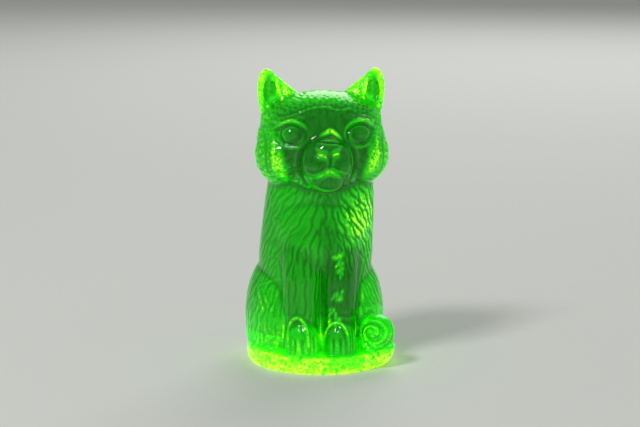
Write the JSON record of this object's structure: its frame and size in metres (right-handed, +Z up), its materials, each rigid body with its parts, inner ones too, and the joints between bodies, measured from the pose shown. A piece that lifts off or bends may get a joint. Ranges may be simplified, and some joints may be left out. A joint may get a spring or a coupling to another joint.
{
  "type": "glass figurine",
  "caption": "Solid pressed uranium-glass figurine of a sitting cat on an oval foot, its tail curled round to the front.",
  "frame": {"origin": "centre of the flat face under the foot", "axes": "+Z up the figure, -Y the way the cat faces, +X its left side, where the tail lies"},
  "size_m": [0.0403, 0.041, 0.08],
  "materials": {
    "uranium_glass": "fire-polished pressed soda-lime glass coloured with uranium, glowing green as under ultraviolet light"
  },
  "bodies": {
    "root": {"foot": "uranium_glass", "torso": "uranium_glass", "left_haunch": "uranium_glass", "right_haunch": "uranium_glass", "left_foreleg": "uranium_glass", "right_foreleg": "uranium_glass", "tail": "uranium_glass", "head": "uranium_glass", "muzzle": "uranium_glass", "left_eye": "uranium_glass", "right_eye": "uranium_glass", "left_ear": "uranium_glass", "right_ear": "uranium_glass"}
  },
  "joints": []
}
